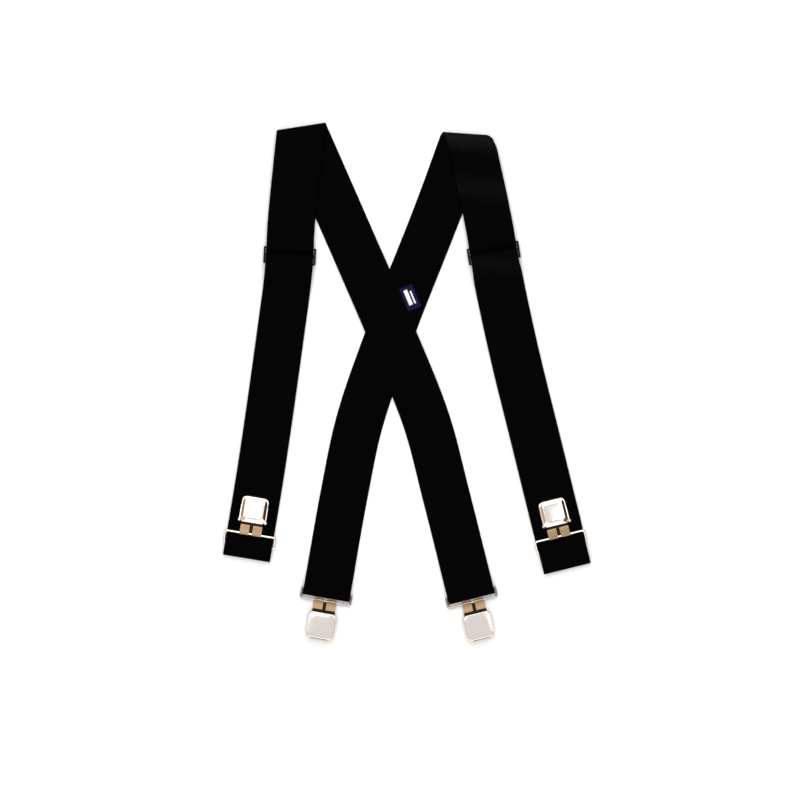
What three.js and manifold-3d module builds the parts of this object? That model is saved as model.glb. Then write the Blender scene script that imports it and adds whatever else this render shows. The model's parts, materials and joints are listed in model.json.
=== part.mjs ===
// A pair of two-inch elastic suspenders with an X back, laid flat with the fronts folded over at
// the shoulders. Millimetres, +Z up, +Y towards the shoulders, the straps resting on Z = 0.
import * as THREE from 'three';
import { mergeVertices } from 'three/addons/utils/BufferGeometryUtils.js';
import Module from 'manifold-3d';

const wasm = await Module();
wasm.setup();

// ---- Driving dimensions ----
const WEB_WIDTH = 50.8;
const WEB_THICK = 1.4;
const LAYER_GAP = 0.2; // between two layers of webbing
const METAL_GAP = 0.3; // between webbing and metal, and between two metal pieces

const WIRE = 2.3; // diameter of the wire ring at each strap end
const RING_WIDTH = 56; // over the wire
const RING_PITCH = 11.9; // from the bar in the webbing to the bar that carries the clip

const SHEET = 0.8; // the clip's pressed steel
const BASE_WIDTH = 23.5;
const BASE_LENGTH = 41;
const TAB_END = 9.5; // where the folded tabs stop, measured from the ring's bar
const TAB_SLOT = 3.4;
const PIVOT_Y = 14; // the pivot pin, from the ring's bar
const PIVOT_Z = 3.4;
const PIN = 1.6;
const LEVER_WIDTH = 29;
const LEVER_START = 12.2;
const LEVER_END = 40;
const LEVER_TOP = 6.4;
const PANEL_RISE = 1;

const SLIDE_BAR = 1.6; // diameter of the adjuster's three bars
const SLIDE_PITCH = 8; // between neighbouring bars
const SLIDE_HALF = 26.9; // from the middle to the centre of a side rail
const SLIDE_RAIL = 2.2;
const SLIDE_TAB = 24; // how far the sewn end reaches below the middle bar

const FOLD_RADIUS = 3; // middle of the webbing at the shoulder fold
const FRONT_EDGE_TO_BAR = { left: 15, right: 24.5 }; // from the strap's bottom edge to the bar inside its loop
const BACK_EDGE_TO_BAR = 8.4;
const LABEL = { length: 26, width: 15, thick: 0.7 };

// ---- Plan of each strap's middle line: from the shoulder down to its end ----
const LEFT_SHOULDER = [-114.0, 272.1];
const RIGHT_SHOULDER = [65.9, 264.1];
const CROSSING = [-18.3, 52.6];
const BACK_FROM_LEFT = [LEFT_SHOULDER, [-69.6, 171.0], CROSSING, [20.0, -43.0], [40.4, -120.1], [68.7, -233.3]];
const BACK_FROM_RIGHT = [RIGHT_SHOULDER, [31.6, 179.5], CROSSING, [-51.3, -43.0], [-67.8, -120.1], [-87.6, -232.4]];
const LEFT_FRONT = [LEFT_SHOULDER, [-124.3, 171.0], [-127.2, 119.6], [-136.0, 51.1], [-155.5, -85.8], [-172.6, -190.0]];
const RIGHT_FRONT = [RIGHT_SHOULDER, [86.0, 171.0], [94.8, 119.6], [113.0, 34.0], [138.2, -68.7], [170.8, -201.1]];
const LEFT_SLIDE_Y = 133.5;
const RIGHT_SLIDE_Y = 136.5;

// ---- Levels ----
const LOW = WEB_THICK / 2; // middle of a layer lying on the table
const STEP = WEB_THICK + LAYER_GAP; // from one layer's middle to the next one's
const BAR_LOW = WEB_THICK + METAL_GAP + WIRE / 2; // the ring's bar, lying on one layer
const HIGH = 2 * BAR_LOW - LOW; // the layer over that bar
const TAB_OUTER = WIRE / 2 + METAL_GAP + SHEET; // outside of the tabs round the ring's bar
const FRONT_BAR_Z = LOW + STEP + WEB_THICK / 2 + METAL_GAP + TAB_OUTER;
const BACK_BAR_Z = TAB_OUTER + 0.05;
const WRAP = SLIDE_BAR / 2 + METAL_GAP + WEB_THICK / 2; // webbing round a bar of the slide
const SLIDE_Z = WRAP + STEP + LOW + 0.1;

// ---- Materials ----
const material = (name, color, roughness, metalness) =>
  Object.assign(new THREE.MeshStandardMaterial({ color, roughness, metalness }), { name });
const ELASTIC = material('elastic', 0x060606, 0.9, 0);
const NICKEL = material('nickel', 0xcfc6b8, 0.2, 1);
const BLACK_STEEL = material('black_steel', 0x0b0b0c, 0.4, 0.6);
const RUBBER = material('grip', 0x1a1a1a, 0.7, 0);
const NAVY = material('label', 0x0a0a30, 0.8, 0);

const group = new THREE.Group();
const vec = (x, y, z = 0) => new THREE.Vector3(x, y, z);

function part(name, geometry, look, parent = group) {
  const mesh = new THREE.Mesh(geometry, look);
  mesh.name = name;
  parent.add(mesh);
  return mesh;
}

// ---- Joining and cutting ----
function solid(geometry, matrix = new THREE.Matrix4()) {
  const bare = geometry.clone().applyMatrix4(matrix);
  bare.deleteAttribute('normal');
  bare.deleteAttribute('uv');
  const merged = mergeVertices(bare, 1e-4);
  const vertProperties = new Float32Array(merged.attributes.position.array);
  const triVerts = new Uint32Array(merged.index.array);
  return new wasm.Manifold(new wasm.Mesh({ numProp: 3, vertProperties, triVerts }));
}

function geometryOf(manifold) {
  const { vertProperties, triVerts } = manifold.getMesh();
  const geometry = new THREE.BufferGeometry();
  geometry.setAttribute('position', new THREE.BufferAttribute(vertProperties, 3));
  geometry.setIndex(new THREE.BufferAttribute(triVerts, 1));
  return geometry;
}

const at = (x, y, z) => new THREE.Matrix4().makeTranslation(x, y, z);
const box = (w, l, h, x, y, z) => solid(new THREE.BoxGeometry(w, l, h), at(x, y, z));
const joined = (pieces) => pieces.reduce((a, b) => a.add(b));

// A round bar along X.
function barX(radius, length, x, y, z, sides = 12) {
  const turn = new THREE.Matrix4().makeRotationZ(Math.PI / 2);
  return solid(new THREE.CylinderGeometry(radius, radius, length, sides), at(x, y, z).multiply(turn));
}

// A closed outline in the Y-Z plane, made solid along X and centred on x.
function sideways(shape, width, x = 0) {
  const geometry = new THREE.ExtrudeGeometry(shape, { depth: width, bevelEnabled: false, curveSegments: 6 });
  const basis = new THREE.Matrix4().makeBasis(vec(0, 1), vec(0, 0, 1), vec(1, 0));
  return solid(geometry, at(x - width / 2, 0, 0).multiply(basis));
}

// ---- Webbing: a strip through a list of stations ----
// Each station has its middle, half its width and half its thickness as vectors.
function strip(stations) {
  const points = stations.flatMap(({ middle, across, up }) => [
    middle.clone().sub(across).sub(up),
    middle.clone().add(across).sub(up),
    middle.clone().add(across).add(up),
    middle.clone().sub(across).add(up),
  ]);
  const index = [0, 1, 2, 0, 2, 3];
  for (let i = 0; i < stations.length - 1; i += 1) {
    for (let k = 0; k < 4; k += 1) {
      const [a, b] = [4 * i + k, 4 * i + ((k + 1) % 4)];
      index.push(a, a + 4, b + 4, a, b + 4, b);
    }
  }
  const last = 4 * (stations.length - 1);
  index.push(last, last + 2, last + 1, last, last + 3, last + 2);
  const geometry = new THREE.BufferGeometry().setFromPoints(points);
  geometry.setIndex(index);
  return geometry;
}

// The strap's plan as a curve that gives a point and a direction at a distance from the shoulder.
function plan(points) {
  const curve = new THREE.CatmullRomCurve3(points.map(([x, y]) => vec(x, y)), false, 'centripetal');
  const length = curve.getLength();
  const share = (q) => THREE.MathUtils.clamp(q / length, 0, 1);
  const atY = (y) => {
    let [low, high] = [0, length];
    for (let i = 0; i < 40; i += 1) {
      const middle = (low + high) / 2;
      if (curve.getPointAt(share(middle)).y > y) low = middle;
      else high = middle;
    }
    return low;
  };
  return { length, atY, point: (q) => curve.getPointAt(share(q)), way: (q) => curve.getTangentAt(share(q)) };
}

// Long straight stretches of a side view are divided, so that the strip can follow its plan.
function divided(points, most = 18) {
  return points.flatMap((p, i) => {
    if (i === 0) return [p];
    const before = points[i - 1];
    const n = Math.max(1, Math.ceil(p.distanceTo(before) / most));
    return Array.from({ length: n }, (_, k) => before.clone().lerp(p, (k + 1) / n));
  });
}

// A strip drawn in side view (distance from the shoulder, height) and laid along its plan.
// Near the shoulder its stations turn to lie along the fold line.
function webbing(route, side, fold = null) {
  const drawn = side.getPoints(6).filter((p, i, all) => i === 0 || p.distanceTo(all[i - 1]) > 0.05);
  const flat = divided(drawn);
  const middles = flat.map((p) => route.point(p.x).setZ(p.y));
  return flat.map((p, i) => {
    const ahead = middles[Math.min(i + 1, middles.length - 1)];
    const behind = middles[Math.max(i - 1, 0)];
    const along = ahead.clone().sub(behind).normalize();
    const way = route.way(p.x);
    const square = vec(-way.y, way.x).normalize();
    const across = square.clone();
    if (fold) {
      const lean = fold.line.dot(way) / fold.line.dot(square);
      const share = 1 - THREE.MathUtils.smoothstep(p.x, 12, 70);
      across.addScaledVector(way, lean * share);
    }
    const up = along.clone().cross(square).normalize().multiplyScalar(-WEB_THICK / 2);
    return { middle: middles[i], across: across.multiplyScalar(WEB_WIDTH / 2), up };
  });
}

// An easy curve between two levels of a side view.
function ease(path, toX, toZ) {
  const from = path.currentPoint.clone();
  const half = (toX - from.x) / 2;
  path.bezierCurveTo(from.x + half, from.y, toX - half, toZ, toX, toZ);
}

// Follows a height given as a function of the distance from the shoulder.
function follow(path, fromX, toX, height, steps = 10) {
  for (let i = 1; i <= steps; i += 1) {
    const x = THREE.MathUtils.lerp(fromX, toX, i / steps);
    path.lineTo(x, height(x));
  }
}

// ---- The two strap routes of each side, and the fold between them ----
function shoulder(back, front) {
  const upBack = back.way(0).negate();
  const upFront = front.way(0).negate();
  const normal = upBack.clone().add(upFront).normalize();
  const line = vec(normal.y, -normal.x);
  const depth = FOLD_RADIUS + WEB_THICK / 2;
  const top = back.point(0);
  return {
    line,
    normal,
    top,
    height: LOW + FOLD_RADIUS,
    backStart: depth / upBack.dot(normal),
    frontStart: depth / upFront.dot(normal),
    pivot: top.clone().addScaledVector(normal, (Math.PI / 2) * FOLD_RADIUS - depth),
  };
}

function foldStations(back, front, fold) {
  const from = back.point(fold.backStart).sub(fold.top);
  const to = front.point(fold.frontStart).sub(fold.top);
  const depth = -from.dot(fold.normal);
  const square = back.way(0);
  const half = WEB_WIDTH / 2 / Math.abs(fold.line.dot(vec(-square.y, square.x)));
  const steps = 12;
  const spare = 0.08; // keeps the fold's ends off the straps it joins
  return Array.from({ length: steps + 1 }, (_, i) => {
    const turn = THREE.MathUtils.lerp(spare, Math.PI - spare, i / steps);
    const outwards = fold.normal.clone().multiplyScalar(Math.sin(turn)).setZ(-Math.cos(turn));
    const sidestep = THREE.MathUtils.lerp(from.dot(fold.line), to.dot(fold.line), i / steps);
    const middle = fold.top
      .clone()
      .addScaledVector(fold.line, sidestep)
      .addScaledVector(fold.normal, -depth)
      .addScaledVector(outwards, FOLD_RADIUS)
      .add(vec(0, 0, fold.height));
    return {
      middle,
      across: fold.line.clone().multiplyScalar(-half),
      up: outwards.multiplyScalar(WEB_THICK / 2),
    };
  });
}

// ---- Loop at a strap end: a side view from one layer, round the edge, to the other ----
// The strap's edge is at `edge`; `first` and `second` are the levels before and after the turn.
function turnRound(path, edge, first, second) {
  const radius = Math.abs(second - first) / 2;
  const centre = edge - WEB_THICK / 2 - radius;
  path.lineTo(centre, first);
  const rising = second > first;
  path.absarc(centre, (first + second) / 2, radius, rising ? -Math.PI / 2 : Math.PI / 2,
    rising ? Math.PI / 2 : -Math.PI / 2, !rising);
}

// ---- Clip: local frame with the ring's bar as origin, +Y to the tip and +Z to the lever ----
function plateOutline(halfWidth, start, end, corner) {
  const shape = new THREE.Shape();
  shape.moveTo(-halfWidth, start);
  shape.lineTo(halfWidth, start);
  shape.lineTo(halfWidth, end - corner);
  shape.absarc(halfWidth - corner, end - corner, corner, 0, Math.PI / 2);
  shape.lineTo(-halfWidth + corner, end);
  shape.absarc(-halfWidth + corner, end - corner, corner, Math.PI / 2, Math.PI);
  return shape;
}

function plate(shape, bottom, thick) {
  const geometry = new THREE.ExtrudeGeometry(shape, { depth: thick, bevelEnabled: false, curveSegments: 4 });
  return solid(geometry, at(0, 0, bottom));
}

const pivotHole = () => barX(PIN / 2 + METAL_GAP, 40, 0, PIVOT_Y, PIVOT_Z);

// A four-sided rise: its foot is `grow` wider on each side than its top.
function rise(width, from, to, bottom, top, grow) {
  const geometry = new THREE.BoxGeometry(width, to - from, top - bottom);
  const { position } = geometry.attributes;
  for (let i = 0; i < position.count; i += 1) {
    if (position.getZ(i) > 0) continue;
    position.setX(i, position.getX(i) + grow * Math.sign(position.getX(i)));
    position.setY(i, position.getY(i) + grow * Math.sign(position.getY(i)));
  }
  return solid(geometry, at(0, (from + to) / 2, (bottom + top) / 2));
}

// The ring: a wire bent into a long rounded loop. Its clip bar is at the origin.
function ringGeometry() {
  const [halfX, halfY] = [(RING_WIDTH - WIRE) / 2, RING_PITCH / 2];
  const bend = 5;
  const loop = new THREE.Path();
  loop.moveTo(-halfX + bend, -halfY);
  loop.lineTo(halfX - bend, -halfY);
  loop.absarc(halfX - bend, -halfY + bend, bend, -Math.PI / 2, 0);
  loop.lineTo(halfX, halfY - bend);
  loop.absarc(halfX - bend, halfY - bend, bend, 0, Math.PI / 2);
  loop.lineTo(-halfX + bend, halfY);
  loop.absarc(-halfX + bend, halfY - bend, bend, Math.PI / 2, Math.PI);
  loop.lineTo(-halfX, -halfY + bend);
  loop.absarc(-halfX + bend, -halfY + bend, bend, Math.PI, 1.5 * Math.PI);
  const centres = loop.getPoints(3).filter((p, i, all) => i === 0 || p.distanceTo(all[i - 1]) > 0.01);
  if (centres[0].distanceTo(centres[centres.length - 1]) < 0.01) centres.pop();
  const sides = 8;
  const points = centres.flatMap((p, i) => {
    const next = centres[(i + 1) % centres.length];
    const before = centres[(i + centres.length - 1) % centres.length];
    const along = next.clone().sub(before).normalize();
    const out = vec(along.y, -along.x);
    return Array.from({ length: sides }, (_, k) => {
      const turn = (2 * Math.PI * k) / sides;
      return vec(p.x, p.y - halfY)
        .addScaledVector(out, (Math.cos(turn) * WIRE) / 2)
        .add(vec(0, 0, (Math.sin(turn) * WIRE) / 2));
    });
  });
  const index = [];
  for (let i = 0; i < centres.length; i += 1) {
    for (let k = 0; k < sides; k += 1) {
      const here = i * sides;
      const there = ((i + 1) % centres.length) * sides;
      const after = (k + 1) % sides;
      index.push(here + k, there + k, there + after, here + k, there + after, here + after);
    }
  }
  const geometry = new THREE.BufferGeometry().setFromPoints(points);
  geometry.setIndex(index);
  return geometry;
}

// One sheet: the flat base, its end curled round the ring's bar as two tabs, and an ear each side.
function baseGeometry() {
  const inner = TAB_OUTER - SHEET;
  const sheet = new THREE.Shape();
  sheet.moveTo(BASE_LENGTH + 1, -inner);
  sheet.lineTo(BASE_LENGTH + 1, -TAB_OUTER);
  sheet.lineTo(0, -TAB_OUTER);
  sheet.absarc(0, 0, TAB_OUTER, 1.5 * Math.PI, 0.5 * Math.PI, true);
  sheet.lineTo(TAB_END, TAB_OUTER);
  sheet.lineTo(TAB_END, inner);
  sheet.lineTo(0, inner);
  sheet.absarc(0, 0, inner, 0.5 * Math.PI, 1.5 * Math.PI, false);
  const outline = plate(plateOutline(BASE_WIDTH / 2, -TAB_OUTER - 1, BASE_LENGTH, 4), -5, 10);
  const slot = box(TAB_SLOT, 20, 2 * TAB_OUTER, 0, TAB_END - 9, SHEET + 0.2);
  const ear = new THREE.Shape();
  const foot = 0.2 - TAB_OUTER;
  ear.moveTo(9.5, foot);
  ear.lineTo(18.5, foot);
  ear.lineTo(PIVOT_Y + 1.9, PIVOT_Z);
  ear.absarc(PIVOT_Y, PIVOT_Z, 1.9, 0, Math.PI);
  const ears = [-1, 1].map((s) => sideways(ear, SHEET, s * (BASE_WIDTH / 2 + SHEET / 2 - 0.15)));
  const folded = sideways(sheet, BASE_WIDTH + 2).intersect(outline).subtract(slot);
  return geometryOf(joined([folded, ...ears]).subtract(pivotHole()));
}

function leverGeometry() {
  const under = LEVER_TOP - SHEET;
  const sheet = plate(plateOutline(LEVER_WIDTH / 2, LEVER_START, LEVER_END, 5.5), under, SHEET);
  const [panelFrom, panelTo, panelWidth] = [LEVER_START + 5, LEVER_END - 2.6, LEVER_WIDTH - 7];
  const panel = rise(panelWidth, panelFrom, panelTo, LEVER_TOP - 0.01, LEVER_TOP + PANEL_RISE, 1.2);
  const hollow = rise(panelWidth - 1.2, panelFrom + 0.6, panelTo - 0.6, under - 0.1, LEVER_TOP + PANEL_RISE - SHEET, 1.2);
  const flange = new THREE.Shape();
  flange.moveTo(LEVER_START, LEVER_TOP - 0.1);
  flange.lineTo(LEVER_START, PIVOT_Z);
  flange.absarc(PIVOT_Y, PIVOT_Z, PIVOT_Y - LEVER_START, Math.PI, 1.5 * Math.PI);
  flange.lineTo(PIVOT_Y + 1, PIVOT_Z - 1.8);
  flange.lineTo(LEVER_END - 8, under - 1.2);
  flange.lineTo(LEVER_END - 6, LEVER_TOP - 0.1);
  const flanges = [-1, 1].map((s) => sideways(flange, SHEET, s * (LEVER_WIDTH / 2 - SHEET / 2)));
  const cam = box(12, SHEET, under - 2.5, 0, PIVOT_Y + 1.4, (under + 2.6) / 2);
  const body = sheet.add(panel).subtract(hollow);
  // two notches in the near edge, where the base's ears pass when the lever stands up
  const notches = [-1, 1].map((s) =>
    box(1.6, 4.4, SHEET + 0.6, s * (BASE_WIDTH / 2 + SHEET / 2 - 0.15), LEVER_START + 1.2, LEVER_TOP - SHEET / 2));
  return geometryOf(joined([body, ...flanges, cam]).subtract(pivotHole()).subtract(joined(notches)));
}

function jawGeometry() {
  const top = PIVOT_Z - PIN / 2 - METAL_GAP;
  const bottom = top - SHEET;
  const blade = plate(plateOutline(10.5, PIVOT_Y, BASE_LENGTH - 1.5, 3), bottom, SHEET);
  const knuckles = [-1, 1].map((s) => barX(PIN / 2 + METAL_GAP + SHEET, 3.2, s * 8.9, PIVOT_Y, PIVOT_Z));
  return geometryOf(joined([blade, ...knuckles]).subtract(pivotHole()));
}

// A grip pad with a row of teeth facing the other pad.
function padGeometry(bottom, top, teethUp) {
  const shape = new THREE.Shape();
  const [from, to] = [PIVOT_Y + 9, BASE_LENGTH - 2.5];
  const teeth = 5;
  const pitch = (to - from) / teeth;
  const [flat, tip] = teethUp ? [bottom, top] : [top, bottom];
  const root = tip + (flat - tip) * 0.45;
  shape.moveTo(from, flat);
  for (let i = 0; i < teeth; i += 1) {
    shape.lineTo(from + i * pitch, root);
    shape.lineTo(from + (i + 0.5) * pitch, tip);
  }
  shape.lineTo(to, root);
  shape.lineTo(to, flat);
  return geometryOf(sideways(shape, 18));
}

function pinGeometry() {
  const reach = LEVER_WIDTH + 0.6;
  const shank = barX(PIN / 2, reach, 0, PIVOT_Y, PIVOT_Z);
  const heads = [-1, 1].map((s) => barX(1.5, 0.6, s * (reach / 2 + 0.3), PIVOT_Y, PIVOT_Z, 12));
  return geometryOf(joined([shank, ...heads]));
}

function clip(name, place, heading, height, tilt) {
  const holder = new THREE.Group();
  holder.position.set(place.x, place.y, height);
  holder.rotation.z = Math.atan2(heading.y, heading.x) - Math.PI / 2;
  group.add(holder);
  part(`${name}_ring`, ringGeometry(), NICKEL, holder).rotation.x = tilt;
  part(`${name}_clip_base`, baseGeometry(), NICKEL, holder);
  part(`${name}_clip_lever`, leverGeometry(), NICKEL, holder);
  part(`${name}_clip_jaw`, jawGeometry(), NICKEL, holder);
  part(`${name}_clip_pin`, pinGeometry(), NICKEL, holder);
  const baseTop = -TAB_OUTER + SHEET;
  const jawUnder = PIVOT_Z - PIN / 2 - METAL_GAP - SHEET;
  part(`${name}_base_grip`, padGeometry(baseTop + METAL_GAP, 0, true), RUBBER, holder);
  part(`${name}_jaw_grip`, padGeometry(METAL_GAP, jawUnder - METAL_GAP, false), RUBBER, holder);
}

// ---- Adjuster slide: a three-bar frame ----
function slideGeometry() {
  const bars = [-1, 0, 1].map((k) => barX(SLIDE_BAR / 2, 2 * SLIDE_HALF, 0, k * SLIDE_PITCH, 0, 12));
  const rails = [-1, 1].map((s) =>
    solid(new THREE.BoxGeometry(SLIDE_RAIL, 2 * SLIDE_PITCH + SLIDE_BAR + 0.4, SLIDE_BAR + 0.4), at(s * SLIDE_HALF, 0, 0)));
  return geometryOf(joined([...bars, ...rails]));
}

// ---- Back straps ----
// The end folds under, and its tab lies on the table beneath the strap.
function backStrap(name, route, fold, crossingLift) {
  const edge = route.length;
  const split = edge - BACK_EDGE_TO_BAR - 3;
  const tabStart = edge - 38;
  const crossing = route.atY(CROSSING[1]);
  const side = new THREE.Path();
  side.moveTo(fold.backStart, LOW);
  if (crossingLift) {
    side.lineTo(crossing - 100, LOW);
    ease(side, crossing - 68, LOW + STEP);
    side.lineTo(crossing + 68, LOW + STEP);
    ease(side, crossing + 100, LOW);
  }
  side.lineTo(tabStart - 16, LOW);
  ease(side, tabStart - 4, LOW + STEP);
  side.lineTo(tabStart + 8, LOW + STEP);
  ease(side, split, HIGH);
  part(`${name}_back_strap`, strip(webbing(route, side, fold)), ELASTIC);

  const loop = new THREE.Path();
  loop.moveTo(split + 0.3, HIGH);
  turnRound(loop, edge, HIGH, LOW);
  loop.lineTo(tabStart, LOW);
  part(`${name}_back_sewn_end`, strip(webbing(route, loop)), ELASTIC);
}

// ---- Front straps ----
// The strap passes over the slide's upper bar, under its middle bar and over its lower bar, runs
// down to the ring, turns back on top and is sewn round the middle bar.
function frontStrap(name, route, fold, slideY) {
  const slide = route.atY(slideY);
  const edge = route.length;
  const [upper, lower] = [slide - SLIDE_PITCH, slide + SLIDE_PITCH];
  const mainUnder = WRAP + STEP;
  const slope = Math.asin((WRAP + mainUnder) / SLIDE_PITCH);
  const landed = lower + 32; // where the strap is back on the table
  const cut = landed + 4; // between the webbing at the slide and the loop below it
  const high = SLIDE_Z + WRAP;
  const gap = 0.3;
  const tabEnd = slide + SLIDE_TAB;
  const main = (x) => THREE.MathUtils.lerp(high, LOW, THREE.MathUtils.smoothstep(x, lower, landed));
  const overTab = (x) => main(x) + STEP * (2 - THREE.MathUtils.smoothstep(x, tabEnd + 1, cut - 1));

  const top = new THREE.Path();
  top.moveTo(fold.frontStart, fold.height + FOLD_RADIUS);
  ease(top, fold.frontStart + 85, high - 1.2);
  ease(top, upper - 8, high);
  part(`${name}_front_upper`, strip(webbing(route, top, fold)), ELASTIC);

  const throat = new THREE.Path();
  throat.moveTo(upper - 8 + gap, high);
  throat.lineTo(upper, high);
  throat.absarc(upper, SLIDE_Z, WRAP, Math.PI / 2, Math.PI / 2 - slope, true);
  throat.absarc(slide, SLIDE_Z, mainUnder, -Math.PI / 2 - slope, -Math.PI / 2 + slope, false);
  throat.absarc(lower, SLIDE_Z, WRAP, Math.PI / 2 + slope, Math.PI / 2, true);
  follow(throat, lower, cut - gap, main);
  part(`${name}_front_throat`, strip(webbing(route, throat)), ELASTIC);

  // the sewn end: from the loop below, over the lower bar, round the middle bar and back
  const tabRadius = WRAP + STEP;
  const overRadius = WRAP + 2 * STEP;
  const lean = Math.asin((overRadius - WRAP) / SLIDE_PITCH);
  const sewn = new THREE.Path();
  sewn.moveTo(cut - gap, LOW + STEP);
  follow(sewn, cut - gap, lower, overTab);
  sewn.absarc(lower, SLIDE_Z, overRadius, Math.PI / 2, Math.PI / 2 + lean, false);
  sewn.absarc(slide, SLIDE_Z, WRAP, Math.PI / 2 + lean, 1.5 * Math.PI + slope, false);
  sewn.absarc(lower, SLIDE_Z, tabRadius, Math.PI / 2 + slope, Math.PI / 2, true);
  follow(sewn, lower, tabEnd, (x) => main(x) + STEP);
  part(`${name}_front_sewn_end`, strip(webbing(route, sewn)), ELASTIC);

  const bar = edge - FRONT_EDGE_TO_BAR[name];
  const split = bar - 3;
  const low = new THREE.Path();
  low.moveTo(cut, LOW);
  low.lineTo(split, LOW);
  part(`${name}_front_lower`, strip(webbing(route, low)), ELASTIC);
  const back = new THREE.Path();
  back.moveTo(cut, LOW + STEP);
  back.lineTo(bar - 10, LOW + STEP);
  ease(back, split, HIGH - 0.25);
  part(`${name}_front_return`, strip(webbing(route, back)), ELASTIC);
  const loop = new THREE.Path();
  loop.moveTo(split + gap, LOW);
  turnRound(loop, edge, LOW, HIGH);
  loop.lineTo(split + gap, HIGH);
  part(`${name}_front_loop`, strip(webbing(route, loop)), ELASTIC);

  const frame = part(`${name}_adjuster_slide`, slideGeometry(), BLACK_STEEL);
  const way = route.way(slide);
  frame.position.copy(route.point(slide)).setZ(SLIDE_Z);
  frame.rotation.z = Math.atan2(way.y, way.x) + Math.PI / 2;
  return { slide, way };
}

// ---- Assembly ----
const places = {};
const routes = {
  left: { back: plan(BACK_FROM_LEFT), front: plan(LEFT_FRONT), slideY: LEFT_SLIDE_Y },
  right: { back: plan(BACK_FROM_RIGHT), front: plan(RIGHT_FRONT), slideY: RIGHT_SLIDE_Y },
};
for (const [name, { back, front, slideY }] of Object.entries(routes)) {
  const fold = shoulder(back, front);
  backStrap(name, back, fold, name === 'left');
  part(`${name}_shoulder_fold`, strip(foldStations(back, front, fold)), ELASTIC);
  const { slide, way } = frontStrap(name, front, fold, slideY);

  const climb = FRONT_BAR_Z - BAR_LOW;
  const frontBar = front.length - FRONT_EDGE_TO_BAR[name];
  const frontReach = Math.sqrt(RING_PITCH ** 2 - climb ** 2);
  const up = front.way(front.length).negate();
  const frontAt = front.point(frontBar - frontReach);
  clip(`${name}_front`, frontAt, up, FRONT_BAR_Z, Math.asin(climb / RING_PITCH));

  const drop = BACK_BAR_Z - BAR_LOW;
  const down = back.way(back.length);
  const backBar = back.point(back.length - BACK_EDGE_TO_BAR);
  const backAt = backBar.clone().addScaledVector(down, Math.sqrt(RING_PITCH ** 2 - drop ** 2));
  clip(`${name}_back`, backAt, down, BACK_BAR_Z, Math.asin(drop / RING_PITCH));

  places[name] = {
    shoulder: fold.pivot.clone().setZ(fold.height),
    foldLine: fold.line,
    adjuster: front.point(slide).setZ(SLIDE_Z),
    slideWay: front.point(front.length).sub(front.point(slide)).normalize(),
    way,
    frontRing: front.point(frontBar).setZ(BAR_LOW),
    frontClip: frontAt.clone().setZ(FRONT_BAR_Z),
    frontUp: up,
    backRing: backBar.clone().setZ(BAR_LOW),
    backClip: backAt.clone().setZ(BACK_BAR_Z),
    backDown: down,
  };
}

// ---- Label: a small woven flag, held in the seam along the upper strap's edge ----
const overWay = routes.left.back.way(routes.left.back.atY(CROSSING[1]));
const overEdge = vec(-overWay.y, overWay.x);
const label = part('label', new THREE.BoxGeometry(LABEL.width, LABEL.length, LABEL.thick), NAVY);
const labelAt = routes.left.back.point(routes.left.back.atY(76));
labelAt.addScaledVector(overEdge, WEB_WIDTH / 2 + LABEL.width / 2 + 0.4);
label.position.copy(labelAt).setZ(WEB_THICK + METAL_GAP + LABEL.thick / 2);
label.rotation.z = Math.atan2(overWay.y, overWay.x) + Math.PI / 2;

// ---- The origin goes to the middle of the footprint, on the table ----
group.updateMatrixWorld(true);
const bounds = new THREE.Box3().setFromObject(group, true);
const middle = bounds.getCenter(vec(0, 0));
group.position.set(-middle.x, -middle.y, -bounds.min.z);
group.updateMatrixWorld(true);
group.userData = { places, shift: group.position.clone() };

export default group;
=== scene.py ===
"""Wide elastic X-back suspenders lying on a white table, seen from straight above."""
import bpy
import bmesh
import json
import math
import numpy as np
from mathutils import Matrix, Vector


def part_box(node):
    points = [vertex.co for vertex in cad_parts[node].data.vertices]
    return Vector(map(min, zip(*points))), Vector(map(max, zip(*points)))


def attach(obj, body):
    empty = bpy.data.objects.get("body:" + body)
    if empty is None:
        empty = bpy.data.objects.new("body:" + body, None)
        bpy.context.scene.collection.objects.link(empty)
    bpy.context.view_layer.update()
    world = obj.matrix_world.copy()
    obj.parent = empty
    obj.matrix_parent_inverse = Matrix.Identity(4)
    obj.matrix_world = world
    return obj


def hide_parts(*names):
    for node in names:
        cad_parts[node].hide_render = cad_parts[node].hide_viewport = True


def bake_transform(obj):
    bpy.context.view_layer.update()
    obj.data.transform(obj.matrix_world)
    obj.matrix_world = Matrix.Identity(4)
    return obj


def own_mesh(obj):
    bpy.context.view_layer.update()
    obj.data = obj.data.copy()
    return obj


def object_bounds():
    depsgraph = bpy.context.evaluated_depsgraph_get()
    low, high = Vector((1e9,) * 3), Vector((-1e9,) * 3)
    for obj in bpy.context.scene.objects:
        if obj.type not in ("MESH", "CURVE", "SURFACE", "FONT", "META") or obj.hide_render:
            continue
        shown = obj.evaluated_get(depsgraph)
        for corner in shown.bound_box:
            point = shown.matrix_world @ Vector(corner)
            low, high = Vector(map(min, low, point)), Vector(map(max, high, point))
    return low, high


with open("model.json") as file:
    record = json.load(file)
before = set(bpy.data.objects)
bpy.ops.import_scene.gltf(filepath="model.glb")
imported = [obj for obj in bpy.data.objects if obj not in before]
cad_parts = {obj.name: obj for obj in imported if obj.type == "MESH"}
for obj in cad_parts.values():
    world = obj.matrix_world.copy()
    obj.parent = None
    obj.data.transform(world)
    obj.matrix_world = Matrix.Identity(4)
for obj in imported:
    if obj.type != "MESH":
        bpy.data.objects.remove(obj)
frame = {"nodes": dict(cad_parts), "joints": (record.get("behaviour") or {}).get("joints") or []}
CAD_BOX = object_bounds()

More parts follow.
